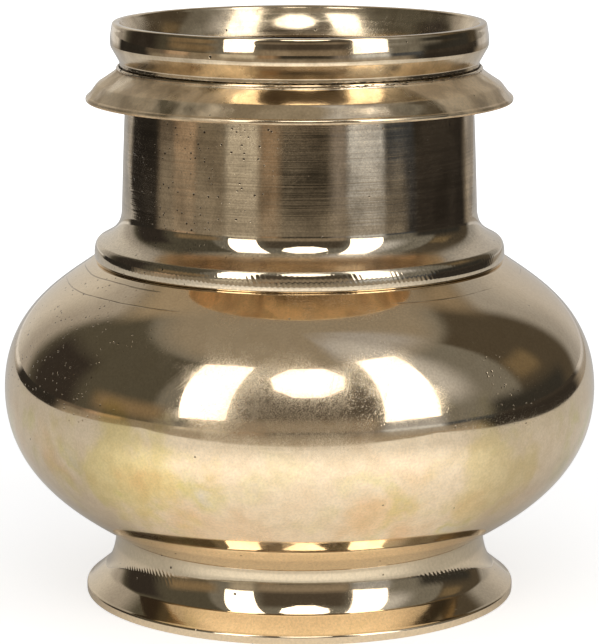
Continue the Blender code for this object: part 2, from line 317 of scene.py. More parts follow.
def neck_outline(shape):
    """Spigot, base ring with a crease at its top, cove, tapering neck, collar and bore."""
    seat = shape.shoulder_top
    ring = shape.ring_radius
    low = seat + CRACK
    end = seat - SEAT_THICKNESS - NECK_SPIGOT_END
    bulge = (ring, low + 0.0012)
    crease = (ring - 0.00064, seat + 0.00395)
    throat = (NECK_FOOT, seat + 0.0100)
    points = [(NECK_SPIGOT_BORE, end), (NECK_SPIGOT, end), (NECK_SPIGOT, low)]
    points += corner((ring - 0.003, low), (ring - 0.00018, low), (ring - 0.00010, low + 0.0005), 0.00025)
    points += curve((ring - 0.00013, low + 0.0003), bulge, 77.0, 0.35, 90.0, 0.40, 8)
    points += curve(bulge, crease, 90.0, 0.70, 128.0, 0.15, 26)[1:]
    points += curve(crease, throat, 151.0, 0.30, 92.0, 0.50, 36)[1:]
    points += curve(throat, (NECK_TOP, FLANGE_SEAT), 92.0, 0.40, 94.5, 0.20, 30)[1:]
    points += [(COLLAR, FLANGE_SEAT), (COLLAR, COLLAR_TOP)]
    points += [(MOUTH_BORE, COLLAR_TOP), (MOUTH_BORE, FLANGE_SEAT)]
    return points


def flange_outline(shape):
    """Skirt with a rolled edge and a knuckle, a scribed line under its top, bore and sloping underside."""
    edge = shape.flange_radius
    top = shape.rim_seat
    low = FLANGE_SEAT - FLANGE_DROP
    inner = NECK_TOP + SEAM
    bore = COLLAR + SEAM
    line = FLANGE_LINE
    bottom = line - FLANGE_LINE_DEPTH
    points = [(bore, FLANGE_SEAT + SEAM), (inner, FLANGE_SEAT + SEAM)]
    points += corner((inner, FLANGE_SEAT), (edge, low), (edge, low + 0.001), 0.00042)
    points += corner((edge, low), (edge, low + 0.0010), (edge - 0.001, low + 0.0012), 0.00045)
    points += curve((edge - 0.0005, low + 0.00112), FLANGE_KNUCKLE, 130.0, 0.50, 148.0, 0.16, 28)
    points += curve(FLANGE_KNUCKLE, FLANGE_BROW, 148.0, 0.33, 142.0, 0.33, 24)[1:]
    points += curve(FLANGE_BROW, (line, top - 0.0006), 142.0, 0.30, 100.0, 0.30, 8)[1:]
    points += [(bottom, top - 0.00056), (bottom, top - 0.00051), (line, top - 0.00047)]
    points += curve((line, top - 0.00045), (line - 0.00029, top), 93.0, 0.35, 178.0, 0.50, 8)
    points += [(bore, top)]
    return points


def rim_outline(shape):
    """Undercut cone, rolled band, round lip, and a mouth that opens upwards."""
    seat = shape.rim_seat
    top = shape.rim_top
    band = shape.rim_radius
    low = seat + 2.0 * CRACK
    throat = band - RIM_UNDERCUT
    bore = COLLAR + SEAM
    cone = (throat + 0.00016, seat + 0.00125)
    brow = (band - 0.00037, seat + 0.00348)
    roll = (band - 0.00003, seat + 0.0046)
    lip = (band - 0.00027, top - 0.0013)
    mouth = (band - 0.00205, top - 0.00045)
    collar = (MOUTH_BORE, COLLAR_TOP + SEAM)
    points = [(bore, low)]
    points += corner((bore, low), (throat, low), (throat, low + 0.001), 0.00012)
    points += curve((throat, seat + 0.00075), cone, 90.0, 0.40, 60.0, 0.40, 8)
    points += curve(cone, brow, 60.0, 0.30, 59.0, 0.30, 24)[1:]
    points += curve(brow, roll, 59.0, 0.30, 89.0, 0.45, 14)[1:]
    points += curve(roll, lip, 89.0, 0.35, 102.0, 0.35, 20)[1:]
    points += curve(lip, (band - 0.0009, top), 102.0, 0.42, 180.0, 0.42, 14)[1:]
    points += corner((band - 0.0012, top), (band - 0.0018, top), (band - 0.0022, top - 0.0006), 0.0003)
    points += curve(mouth, collar, 236.0, 0.45, 264.0, 0.25, 34)
    points += [(bore, COLLAR_TOP + SEAM)]
    return points


def turned(outline, segments):
    """A mesh turned about Z; an outline that starts on the axis is solid through the middle.

    A small sector is spun first, and the sector is then doubled until it goes all the way round.
    """
    bm = bmesh.new()
    corners = [bm.verts.new((radius, 0.0, height)) for radius, height in outline]
    following = corners[1:]
    if outline[0][0] > 0.0:
        following = following + corners[:1]
    edges = [bm.edges.new(pair) for pair in zip(corners, following)]
    sector = math.tau / 2 ** DOUBLINGS
    bmesh.ops.spin(bm, geom=corners + edges, cent=(0.0, 0.0, 0.0), axis=(0.0, 0.0, 1.0),
                   angle=sector, steps=segments // 2 ** DOUBLINGS, use_merge=False)
    for doubling in range(DOUBLINGS):
        copied = bmesh.ops.duplicate(bm, geom=bm.verts[:] + bm.edges[:] + bm.faces[:])["geom"]
        moved = [item for item in copied if isinstance(item, bmesh.types.BMVert)]
        bmesh.ops.rotate(bm, verts=moved, cent=(0.0, 0.0, 0.0),
                         matrix=Matrix.Rotation(sector * 2 ** doubling, 3, "Z"))
    bmesh.ops.remove_doubles(bm, verts=bm.verts, dist=MERGE_DISTANCE)
    bmesh.ops.recalc_face_normals(bm, faces=bm.faces)
    return bm


def wander(bm, amount):
    """Moves the walls in and out by a little, as hand finishing does."""
    broad, fine = WANDER_WAVES
    for vertex in bm.verts:
        radius = vertex.co.xy.length
        if radius > WANDER_FROM:
            push = noise.noise(vertex.co * broad) + 0.5 * noise.noise(vertex.co * fine)
            vertex.co.xy *= 1.0 + amount * push / radius


def roughen(bm, amount):
    """Moves every point by a small lump of noise; the noise is unseeded, so the lumps vary between runs."""
    for vertex in bm.verts:
        vertex.co += noise.noise_vector(vertex.co / LUMP_SPACING) * amount


def piece(name, bm, finish, maker, node):
    """Makes the object in its metal, rides it on the pot and lets it stand for the node."""
    mesh = bpy.data.meshes.new(name)
    bm.to_mesh(mesh)
    bm.free()
    mesh.shade_smooth()
    mesh.set_sharp_from_angle(angle=SHARP_ANGLE)
    mesh.materials.append(bpy.data.materials.get(finish) or maker(finish, bpy.context.scene.lota_finish))
    made = bpy.data.objects.new(name, mesh)
    bpy.context.scene.collection.objects.link(made)
    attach(made, BODY)
    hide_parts(node)


def casting(name, outline, finish, maker, node):
    """Turns one casting of the pot."""
    shape = bpy.context.scene.lota_shape
    bm = turned(outline(shape), shape.segments)
    wander(bm, shape.unevenness)
    piece(name, bm, finish, maker, node)


# Node helpers

def put(tree, node, inputs):
    """Sets a node's inputs to values or links them to sockets."""
    for socket, value in inputs.items():
        if isinstance(value, bpy.types.NodeSocket):
            tree.links.new(value, node.inputs[socket])
        else:
            node.inputs[socket].default_value = value


def add(tree, kind, inputs=None, **settings):
    """Outputs of a new node with its settings and inputs."""
    made = tree.nodes.new(kind)
    for name, value in settings.items():
        setattr(made, name, value)
    put(tree, made, inputs or {})
    return made.outputs


def use(tree, name, *values):
    """Outputs of a node group whose inputs are given in order."""
    return add(tree, "ShaderNodeGroup", dict(enumerate(values)), node_tree=bpy.data.node_groups[name])


def calc(tree, operation, *values):
    """Result of a math node."""
    return add(tree, "ShaderNodeMath", dict(enumerate(values)), operation=operation)[0]


def times(tree, first, *others):
    """Product of several values."""
    for other in others:
        first = calc(tree, "MULTIPLY", first, other)
    return first


def raised(tree, value, mask, amount):
    """A value with an amount added where a mask is white."""
    return calc(tree, "ADD", value, times(tree, mask, amount))


def ramp(tree, value, low, high, to_low=0.0, to_high=1.0):
    """A value carried smoothly from one range to another."""
    inputs = {"Value": value, "From Min": low, "From Max": high, "To Min": to_low, "To Max": to_high}
    return add(tree, "ShaderNodeMapRange", inputs, interpolation_type="SMOOTHSTEP")["Result"]


def between(tree, value, low, high, soft):
    """Mask of the values between two limits, with soft edges."""
    rise = ramp(tree, value, calc(tree, "SUBTRACT", low, soft), calc(tree, "ADD", low, soft))
    fall = ramp(tree, value, calc(tree, "SUBTRACT", high, soft), calc(tree, "ADD", high, soft), 1.0, 0.0)
    return times(tree, rise, fall)


def blend(tree, factor, first, second, blend_type="MIX"):
    """Mix of two colours."""
    inputs = {0: factor, 6: first, 7: second}
    return add(tree, "ShaderNodeMix", inputs, data_type="RGBA", blend_type=blend_type)[2]


def tinted(tree, colour, tint):
    """One colour multiplied by another."""
    return blend(tree, 1.0, colour, tint, "MULTIPLY")


def solid(colour):
    """A colour with full opacity."""
    return (*colour, 1.0)


def split(tree, vector):
    """The three parts of a vector."""
    return add(tree, "ShaderNodeSeparateXYZ", {0: vector})


def turn(tree, parts):
    """Angle around the pot in radians: 0 in front of it, positive to the right."""
    return calc(tree, "ARCTAN2", parts[0], times(tree, parts[1], -1.0))


def scaled(tree, position, scale):
    """Position stretched by a scale along each axis."""
    return add(tree, "ShaderNodeVectorMath", {0: position, 1: scale}, operation="MULTIPLY")[0]


def length(tree, position):
    """Length of a vector."""
    return add(tree, "ShaderNodeVectorMath", {0: position}, operation="LENGTH")["Value"]


def speckle(tree, position, scale, detail=2.0):
    """Value of a noise texture around 0.5, with the given number of lumps per metre."""
    return add(tree, "ShaderNodeTexNoise", {"Vector": position, "Scale": scale, "Detail": detail})[0]


def effect(name, takes, gives=("Mask",)):
    """A node group with named sockets; returns the group, what it is given and where its results go.

    An input without a default is a vector, and an output called Tint is a colour.
    """
    group = bpy.data.node_groups.new(name, "ShaderNodeTree")
    for socket, value in takes.items():
        kind = "NodeSocketVector" if value is None else "NodeSocketFloat"
        made = group.interface.new_socket(name=socket, in_out="INPUT", socket_type=kind)
        if value is not None:
            made.default_value = value
    for socket in gives:
        kind = "NodeSocketColor" if socket == "Tint" else "NodeSocketFloat"
        group.interface.new_socket(name=socket, in_out="OUTPUT", socket_type=kind)
    return group, group.nodes.new("NodeGroupInput").outputs, group.nodes.new("NodeGroupOutput").inputs


# Effects that several metals share

# How far the turned lines are drawn out around the pot, as waves per metre
LINE_STRETCH = 26.0
# Hairlines: turn about each axis, waves per metre along and across the scratches
HAIRLINES = (
    ((20.0, 35.0, 10.0), 50.0, 4200.0),
    ((70.0, -25.0, 50.0), 70.0, 3800.0),
    ((-40.0, 60.0, 115.0), 60.0, 4600.0),
    ((5.0, -70.0, 80.0), 80.0, 5200.0),
)
# How far a scribed line wavers
LINE_WAVER = 0.00012
# Tarnish from rose through straw and clean metal to green and blue: place on the scale, tint
STAIN_COLOURS = (
    (0.30, (0.97, 0.80, 0.70)),
    (0.72, (0.80, 0.89, 0.97)),
    (0.43, (0.96, 0.90, 0.80)),
    (0.52, (0.98, 0.98, 0.96)),
    (0.62, (0.82, 0.87, 0.52)),
)


def turning_lines():
    """Fine rings left by the lathe: noise squeezed along the height and drawn out around the pot."""
    group, given, result = effect(
        "turning lines", {"Position": None, "Lines per metre": 3000.0, "Lean": 0.0}, ["Height"])
    x, y, z = split(group, given["Position"])
    radius = calc(group, "SQRT", calc(group, "ADD", times(group, x, x), times(group, y, y)))
    run = calc(group, "SUBTRACT", z, times(group, radius, given["Lean"]))
    drawn = {0: times(group, x, LINE_STRETCH), 1: times(group, y, LINE_STRETCH),
             2: times(group, run, given["Lines per metre"])}
    rings = speckle(group, add(group, "ShaderNodeCombineXYZ", drawn)[0], 1.0, 3.0)
    group.links.new(rings, result["Height"])


def hairlines():
    """Thin scratches in four directions, thicker in some patches than in others."""
    group, given, result = effect("hairlines", {"Position": None, "Share": 0.5})
    position = given["Position"]
    total = None
    for angles, along, across in HAIRLINES:
        inputs = {"Vector": position, "Rotation": [math.radians(angle) for angle in angles]}
        laid = add(group, "ShaderNodeVectorRotate", inputs, rotation_type="EULER_XYZ")[0]
        streak = speckle(group, scaled(group, laid, (along, across, across)), 1.0, 1.0)
        thin = ramp(group, streak, 0.62, 0.74)
        total = thin if total is None else calc(group, "MAXIMUM", total, thin)
    patch = ramp(group, speckle(group, position, 60.0), 0.38, 0.72)
    group.links.new(times(group, total, patch, given["Share"]), result["Mask"])


def casting_pits():
    """Small round pores of several sizes, in a share of the cells of a pattern."""
    group, given, result = effect(
        "casting pits", {"Position": None, "Per metre": 800.0, "Size": 0.2, "Share": 0.2})
    inputs = {"Vector": given["Position"], "Scale": given["Per metre"]}
    cells = add(group, "ShaderNodeTexVoronoi", inputs, feature="F1")
    chance = add(group, "ShaderNodeSeparateColor", {0: cells["Color"]})
    chosen = calc(group, "LESS_THAN", chance[0], given["Share"])
    size = times(group, given["Size"], calc(group, "ADD", 0.4, chance[1]))
    away = calc(group, "DIVIDE", cells["Distance"], size)
    inside = calc(group, "SUBTRACT", 1.0, ramp(group, away, 0.5, 1.0))
    group.links.new(times(group, inside, chosen), result["Mask"])


def tool_chatter():
    """Slanting ripples that a springing tool leaves here and there around a turned face."""
    group, given, result = effect(
        "tool chatter", {"Position": None, "Marks": 240.0, "Slant": 700.0}, ["Height"])
    position = given["Position"]
    parts = split(group, position)
    around = times(group, turn(group, parts), given["Marks"])
    slanted = calc(group, "ADD", around, times(group, parts[2], given["Slant"]))
    phase = calc(group, "ADD", slanted, times(group, speckle(group, position, 90.0), 14.0))
    strength = ramp(group, speckle(group, position, 60.0), 0.36, 0.60)
    group.links.new(times(group, calc(group, "SINE", phase), strength), result["Height"])


def soft_spot():
    """Mask of a ragged round spot."""
    group, given, result = effect("soft spot", {"Position": None, "Middle": None, "Size": 0.01})
    position = given["Position"]
    ends = {0: position, 1: given["Middle"]}
    away = add(group, "ShaderNodeVectorMath", ends, operation="DISTANCE")["Value"]
    ragged = calc(group, "ADD", calc(group, "DIVIDE", away, given["Size"]),
                  ramp(group, speckle(group, position, 110.0, 4.0), 0.2, 0.8, -0.55, 0.55))
    group.links.new(ramp(group, ragged, 0.35, 1.05, 1.0, 0.0), result["Mask"])


def scribed_line():
    """Mask of a thin wavering line around the pot, broken in places."""
    group, given, result = effect("scribed line", {"Position": None, "At": 0.05, "Width": 0.0001})
    position = given["Position"]
    waver = ramp(group, speckle(group, position, 70.0, 3.0), 0.2, 0.8, -LINE_WAVER, LINE_WAVER)
    height = calc(group, "ADD", split(group, position)[2], waver)
    off = calc(group, "ABSOLUTE", calc(group, "SUBTRACT", height, given["At"]))
    line = ramp(group, calc(group, "DIVIDE", off, given["Width"]), 0.4, 1.0, 1.0, 0.0)
    kept = ramp(group, speckle(group, position, 45.0, 3.0), 0.44, 0.56)
    group.links.new(times(group, line, kept), result["Mask"])


def stains():
    """Thin coloured stains where the metal has begun to tarnish."""
    group, given, result = effect("stains", {"Position": None, "Amount": 1.0}, ["Tint", "Mask"])
    position = given["Position"]
    colours = add(group, "ShaderNodeValToRGB", {0: speckle(group, position, 105.0, 6.0)})[0]
    stops = colours.node.color_ramp.elements
    for index, (place, tint) in enumerate(STAIN_COLOURS):
        stop = stops[index] if index < 2 else stops.new(place)
        stop.position = place
        stop.color = solid(tint)
    patch = ramp(group, speckle(group, scaled(group, position, (1.0, 1.0, 1.6)), 30.0, 6.0), 0.40, 0.58)
    amount = times(group, patch, given["Amount"])
    group.links.new(blend(group, amount, solid([1.0] * 3), colours), result["Tint"])
    group.links.new(amount, result["Mask"])


def height_band():
    """Mask of a belt between two heights."""
    group, given, result = effect("height band", {"Position": None, "Low": 0.0, "High": 0.1, "Soft": 0.001})
    height = split(group, given["Position"])[2]
    group.links.new(between(group, height, given["Low"], given["High"], given["Soft"]), result["Mask"])


# Metals

# Turned lines: lines per metre, lean of the face that they run on
BELLY_LINES = (2600.0, 0.0)
NECK_LINES = (4200.0, 0.3)
NECK_COARSE_LINES = (1300.0, 0.3)
RIM_LINES = (3200.0, 0.8)
FOOT_LINES = (3000.0, 0.7)

# Pores: cells per metre, size as a share of a cell, share of the cells that have one
BELLY_PITS = (520.0, 0.09, 0.04)
SHOULDER_PITS = (1150.0, 0.24, 0.40)
NECK_PITS = (1150.0, 0.24)
NECK_PIT_SHARE = (0.03, 0.55)
RIM_PITS = (600.0, 0.15, 0.05)
FOOT_PITS = (560.0, 0.15, 0.06)

# Tool chatter: marks per radian, slant
RING_CHATTER = (260.0, 2600.0)
FOOT_CHATTER = (220.0, 4000.0)

# Belts: low and high, softness
PITTED_SHOULDER = (0.044, 0.2, 0.004)
STAINED_BELLY = (0.0190, 0.043, 0.006)
BASE_RING = (0.0682, 0.0708, 0.0004)
COVE = (0.0709, 0.0740, 0.0006)
BARREL = (0.0775, 0.2, 0.0020)
RIM_SEAM = (0.1053, 0.1064, 0.0003)
RIM_CONE = (0.1066, 0.1094, 0.0003)
SKIRT = (0.09, 0.1056, 0.0003)
FOOT_FLARE_BELT = (0.0075, 0.0122, 0.0006)
# Band at the top of the foot, under the bowl, whose colour is made darker
FOOT_DARKER_BELT = (0.0098, 0.02, 0.0006)

# Spots where the metal is porous, worn or rippled: middle, size
SHOULDER_PORES = ((-0.047, -0.026, 0.0560), 0.024)
NECK_PORES = ((-0.021, -0.028, 0.084), 0.022)
BELLY_WEAR = ((-0.003, -0.0578, 0.0462), 0.027)
FLANGE_WEAR = (
    ((-0.034, -0.024, 0.1020), 0.030),
    ((0.034, -0.025, 0.1015), 0.021),
    ((0.012, 0.040, 0.1015), 0.020),
)
FOOT_RIPPLES = (
    ((-0.0305, -0.0238, 0.009), 0.012),
    ((0.0305, -0.0238, 0.009), 0.012),
    ((0.010, 0.0375, 0.009), 0.016),
)

# Stains on the belly: middle, size, tint
BELLY_STAINS = (
    ((-0.034, -0.047, 0.034), 0.018, (0.94, 0.94, 0.62)),
    ((0.037, -0.045, 0.034), 0.014, (0.94, 0.93, 0.70)),
    ((0.016, -0.053, 0.028), 0.010, (0.98, 0.88, 0.74)),
    ((-0.020, -0.051, 0.024), 0.014, (0.98, 0.92, 0.86)),
    ((0.033, 0.047, 0.031), 0.019, (0.94, 0.93, 0.70)),
)
# Distance sideways over which the front's rubbing fades, and the share of stain left in the rubbed middle
RUBBED = (0.004, 0.028)
RUBBED_SHARE = 0.35

# Scribed lines on the shoulder: height, and the middle and size of the stretch where they show
SHOULDER_LINES = (
    (0.06645, (-0.036, -0.020, 0.0665), 0.032),
    (0.0639, (-0.038, -0.024, 0.064), 0.030),
    (0.0654, (0.038, -0.024, 0.065), 0.036),
)
LINE_WIDTH = 0.00010
LINE_DARKNESS = 0.5

# Edge of the flange's matt underside, as height plus a share of the radius; radius of the mouth's inside
UNDERSIDE_SLOPE = 0.237
UNDERSIDE_EDGE = (0.1093, 0.1097)
MOUTH_EDGE = (0.0350, 0.0356)

# Colours of dirt and pores, and of patches of tarnish and the clean metal beside them; a tint that darkens
# the foot's top band
BELLY_PIT = (0.10, 0.07, 0.04)
NECK_PIT = (0.06, 0.04, 0.025)
RIM_DIRT = (0.05, 0.035, 0.02)
FOOT_PIT = (0.07, 0.05, 0.03)
FILLER_HOLLOW = (0.025, 0.018, 0.010)
BELLY_PATINA = ((0.98, 0.96, 0.93), (1.05, 1.05, 1.05))
NECK_TARNISH = ((0.70, 0.68, 0.66), (1.04, 1.02, 1.0))
RIM_TARNISH = ((0.80, 0.77, 0.73), (1.03, 1.02, 1.0))
# Tint that darkens the colour of the band at the top of the foot
FOOT_DARKER_TINT = (0.80, 0.81, 0.81)
NECK_CLOUDED = 0.88

# Roughness that marks add to the polish
SCRATCH_HAZE = {"belly": 0.18, "neck": 0.10, "rim": 0.12, "foot": 0.10}
STAIN_HAZE = 0.06
WEAR_HAZE = 0.25
COVE_HAZE = 0.13
CONE_HAZE = 0.08
SKIRT_HAZE = 0.06
FLANGE_WEAR_HAZE = 0.42
UNDERSIDE_ROUGHNESS = 0.55
DIRT_ROUGHNESS = 0.5

# The neck is brushed around: strength of the brushing, and its direction as a share of a turn
BRUSHING = 0.95
BRUSHING_TURN = 0.25


def metal(name):
    """A new metal: the material, its tree, the position on the pot, and makers of masks and flecks there."""
    material = bpy.data.materials.new(name)
    material.use_nodes = True
    tree = material.node_tree
    position = add(tree, "ShaderNodeTexCoord")["Object"]

    def mask(effect_name, *values):
        return use(tree, effect_name, position, *values)[0]

    def flecks(per_metre, detail):
        return speckle(tree, position, per_metre, detail)

    return material, tree, position, mask, flecks


def coat(material, colour, roughness, marks):
    """Joins colour, roughness and marks to the metal; a mark is a height map and its depth in metres."""
    tree = material.node_tree
    surface = {"Metallic": 1.0, "Base Color": colour, "Roughness": roughness}
    for height, depth in marks:
        inputs = {"Height": height, "Strength": 1.0, "Distance": depth}
        if "Normal" in surface:
            inputs["Normal"] = surface["Normal"]
        surface["Normal"] = add(tree, "ShaderNodeBump", inputs)[0]
    put(tree, tree.nodes["Principled BSDF"], surface)
    return material


def grained(tree, colour, grain, dark, light):
    """A colour darkened and lightened by a fine grain."""
    return tinted(tree, colour, ramp(tree, grain, 0.25, 0.75, dark, light))


def patches(tree, mask, tints):
    """Two tints mixed by a mask."""
    return blend(tree, mask, solid(tints[0]), solid(tints[1]))


def belly_brass(name, finish):
    """Mirror polish with hairlines, faint turning rings, pores, and stains on the lower half."""
    material, tree, position, mask, flecks = metal(name)
    lines = mask("turning lines", *BELLY_LINES)
    scratch = mask("hairlines", finish.scratching)
    high = mask("height band", *PITTED_SHOULDER)
    low_half = mask("height band", *STAINED_BELLY)
    grain = flecks(2200.0, 3.0)

    pits = mask("casting pits", *BELLY_PITS)
    more_pits = mask("casting pits", *SHOULDER_PITS)
    patchy = ramp(tree, flecks(40.0, 3.0), 0.58, 0.70)
    patchy = calc(tree, "MAXIMUM", mask("soft spot", *SHOULDER_PORES), patchy)
    pits = calc(tree, "MAXIMUM", pits, times(tree, more_pits, high, patchy))
    for height, middle, size in SHOULDER_LINES:
        line = mask("scribed line", height, LINE_WIDTH)
        stretch = mask("soft spot", middle, size)
        pits = calc(tree, "MAXIMUM", pits, times(tree, line, stretch, LINE_DARKNESS))

    sideways = calc(tree, "ABSOLUTE", split(tree, position)[0])
    unrubbed = ramp(tree, sideways, *RUBBED, RUBBED_SHARE, 1.0)
    stained = times(tree, low_half, unrubbed, finish.staining)
    stain_tint, stain_mask = use(tree, "stains", position, stained)
    colour = tinted(tree, solid(finish.brass), stain_tint)
    for middle, size, tint in BELLY_STAINS:
        amount = times(tree, mask("soft spot", middle, size), finish.staining)
        colour = blend(tree, amount, colour, tinted(tree, colour, solid(tint)))
    colour = grained(tree, colour, grain, 0.92, 1.05)
    patina = patches(tree, ramp(tree, flecks(330.0, 4.0), 0.35, 0.65), BELLY_PATINA)
    colour = blend(tree, ramp(tree, low_half, 0.0, 1.0, 0.4, 1.0), colour, tinted(tree, colour, patina))
    colour = blend(tree, pits, colour, solid(BELLY_PIT))

    cloud = ramp(tree, flecks(38.0, 4.0), 0.35, 0.75, 0.0, 0.03)
    roughness = calc(tree, "ADD", finish.polish, cloud)
    roughness = raised(tree, roughness, scratch, SCRATCH_HAZE["belly"])
    roughness = raised(tree, roughness, stain_mask, STAIN_HAZE)
    dull = ramp(tree, flecks(12000.0, 1.0), 0.44, 0.56)
    wear = times(tree, mask("soft spot", *BELLY_WEAR), dull)
    roughness = raised(tree, roughness, wear, WEAR_HAZE)
    marks = [(lines, 0.0000011), (grain, 0.0000005), (scratch, -0.0000007), (pits, -0.00005)]
    return coat(material, colour, roughness, marks)


def neck_brass(name, finish):
    """Brushed and clouded barrel with pores on one side, hazy cove, and chatter on the base ring."""
    material, tree, position, mask, flecks = metal(name)
    lines = mask("turning lines", *NECK_LINES)
    coarse = mask("turning lines", *NECK_COARSE_LINES)
    scratch = mask("hairlines", finish.scratching)
    ring = mask("height band", *BASE_RING)
    cove = mask("height band", *COVE)
    barrel = mask("height band", *BARREL)
    chatter = mask("tool chatter", *RING_CHATTER)
    porous = mask("soft spot", *NECK_PORES)
    share = ramp(tree, porous, 0.0, 1.0, *NECK_PIT_SHARE)
    pits = mask("casting pits", *NECK_PITS, share)
    cloud = flecks(90.0, 5.0)
    blotch = speckle(tree, scaled(tree, position, (1.0, 1.0, 0.6)), 170.0, 6.0)

    clouded = solid([NECK_CLOUDED * part for part in finish.neck_brass])
    colour = blend(tree, ramp(tree, cloud, 0.35, 0.65), clouded, solid(finish.neck_brass))
    colour = grained(tree, colour, flecks(2300.0, 3.0), 0.84, 1.10)
    streaks = ramp(tree, calc(tree, "ADD", lines, coarse), 0.75, 1.25, 0.84, 1.04)
    tarnish = patches(tree, ramp(tree, blotch, 0.36, 0.62), NECK_TARNISH)
    colour = blend(tree, barrel, colour, tinted(tree, tinted(tree, colour, streaks), tarnish))
    colour = blend(tree, pits, colour, solid(NECK_PIT))

    brushed = calc(tree, "ADD", ramp(tree, cloud, 0.35, 0.70, 0.0, 0.045),
                   ramp(tree, lines, 0.35, 0.65, -0.01, 0.015))
    roughness = raised(tree, finish.polish, barrel, brushed)
    roughness = raised(tree, roughness, cove, COVE_HAZE)
    roughness = raised(tree, roughness, scratch, SCRATCH_HAZE["neck"])
    fine = times(tree, lines, ramp(tree, barrel, 0.0, 1.0, 0.3, 1.0))
    marks = [(fine, 0.000005), (times(tree, coarse, barrel), 0.000009),
             (times(tree, blotch, barrel), 0.000035), (times(tree, chatter, ring), 0.0000055),
             (pits, -0.00002)]
    brushing = {"Anisotropic": BRUSHING, "Anisotropic Rotation": BRUSHING_TURN}
    put(tree, tree.nodes["Principled BSDF"], brushing)
    return coat(material, colour, roughness, marks)


def rim_brass(name, finish):
    """Polished rim and flange with grit at the seam, a hazier mouth and a matt underside."""
    material, tree, position, mask, flecks = metal(name)
    lines = mask("turning lines", *RIM_LINES)
    scratch = mask("hairlines", finish.scratching)
    pits = mask("casting pits", *RIM_PITS)
    seam = mask("height band", *RIM_SEAM)
    cone = mask("height band", *RIM_CONE)
    skirt = mask("height band", *SKIRT)
    grain = flecks(1900.0, 2.0)
    grit = ramp(tree, speckle(tree, scaled(tree, position, (0.5, 0.5, 2.0)), 1500.0, 3.0), 0.54, 0.64)
    worn = ramp(tree, flecks(50.0, 3.0), 0.40, 0.58)
    dirt = calc(tree, "MAXIMUM", times(tree, grit, seam, worn), pits)
    radius = length(tree, scaled(tree, position, (1.0, 1.0, 0.0)))
    slope = raised(tree, split(tree, position)[2], radius, UNDERSIDE_SLOPE)
    under = ramp(tree, slope, *UNDERSIDE_EDGE, 1.0, 0.0)
    mouth = ramp(tree, radius, *MOUTH_EDGE, 1.0, 0.0)

    colour = grained(tree, solid(finish.rim_brass), grain, 0.92, 1.05)
    blotch = ramp(tree, flecks(190.0, 6.0), 0.38, 0.60)
    colour = tinted(tree, colour, patches(tree, blotch, RIM_TARNISH))
    colour = blend(tree, dirt, colour, solid(RIM_DIRT))

    cloud = ramp(tree, flecks(60.0, 4.0), 0.4, 0.75, 0.0, 0.05)
    roughness = calc(tree, "ADD", finish.polish, cloud)
    roughness = raised(tree, roughness, scratch, SCRATCH_HAZE["rim"])
    roughness = raised(tree, roughness, mouth, ramp(tree, lines, 0.3, 0.7, 0.06, 0.14))
    roughness = calc(tree, "MAXIMUM", roughness, times(tree, under, UNDERSIDE_ROUGHNESS))
    roughness = raised(tree, roughness, cone, CONE_HAZE)
    roughness = raised(tree, roughness, skirt, SKIRT_HAZE)
    for middle, size in FLANGE_WEAR:
        spot = mask("soft spot", middle, size)
        roughness = raised(tree, roughness, times(tree, spot, skirt), FLANGE_WEAR_HAZE)
    roughness = calc(tree, "MAXIMUM", roughness, times(tree, dirt, DIRT_ROUGHNESS))
    return coat(material, colour, roughness, [(lines, 0.000003), (grain, 0.000001), (dirt, -0.00004)])


def foot_brass(name, finish):
    """Polished foot with pores, tool chatter on its flare, and a darker band at its top."""
    material, tree, position, mask, flecks = metal(name)
    lines = mask("turning lines", *FOOT_LINES)
    scratch = mask("hairlines", finish.scratching)
    pits = mask("casting pits", *FOOT_PITS)
    flare = mask("height band", *FOOT_FLARE_BELT)
    darker_band = mask("height band", *FOOT_DARKER_BELT)
    chatter = mask("tool chatter", *FOOT_CHATTER)
    rippled = 0.0
    for middle, size in FOOT_RIPPLES:
        rippled = calc(tree, "MAXIMUM", rippled, mask("soft spot", middle, size))

    colour = grained(tree, solid(finish.foot_brass), flecks(1900.0, 2.0), 0.93, 1.05)
    # The band at the top of the foot, under the bowl, is made darker
    colour = blend(tree, darker_band, colour, tinted(tree, colour, solid(FOOT_DARKER_TINT)))
    colour = blend(tree, pits, colour, solid(FOOT_PIT))

    cloud = ramp(tree, flecks(60.0, 4.0), 0.4, 0.75, 0.0, 0.04)
    roughness = calc(tree, "ADD", finish.polish, cloud)
    roughness = raised(tree, roughness, scratch, SCRATCH_HAZE["foot"])
    marks = [(lines, 0.0000025), (times(tree, chatter, rippled, flare), 0.0000075), (pits, -0.00004)]
    return coat(material, colour, roughness, marks)


def filler_metal(name, finish):
    """Oxidised filler: lumpy, nearly black in its hollows, brassy on its high spots."""
    material, tree, position, mask, flecks = metal(name)
    lumps = flecks(900.0, 5.0)
    colour = patches(tree, ramp(tree, lumps, 0.40, 0.68), (FILLER_HOLLOW, finish.filler))
    return coat(material, colour, ramp(tree, lumps, 0.35, 0.70, 0.75, 0.32), [(lumps, 0.0002)])


# Stage

# Corners of the two tall soft lamps, and the middle and half sizes of the round one, which faces a point
LEFT_LAMP = ((-0.816, -0.816, 0.170), (-0.525, -1.031, 0.196),
             (-0.313, -0.684, 1.194), (-0.582, -0.465, 1.034))
RIGHT_LAMP = ((0.495, -0.818, 0.131), (0.762, -0.570, 0.137),
              (0.664, -0.367, 1.325), (0.449, -0.624, 1.434))
ROUND_LAMP = (0.054, -0.767, 0.755)
ROUND_LAMP_HALF = (0.222, 0.253)
ROUND_LAMP_SIDES = 8
AIM = Vector((0.0, -0.055, 0.053))
LAMP_COLOUR = (1.0, 0.985, 0.955)

# The camera and the height that it looks at
CAMERA_LENS = 171.06
CAMERA_PITCH = 10.8
CAMERA_DISTANCE = 0.613
CAMERA_TARGET = 0.0543
CAMERA_NEAREST = 0.01

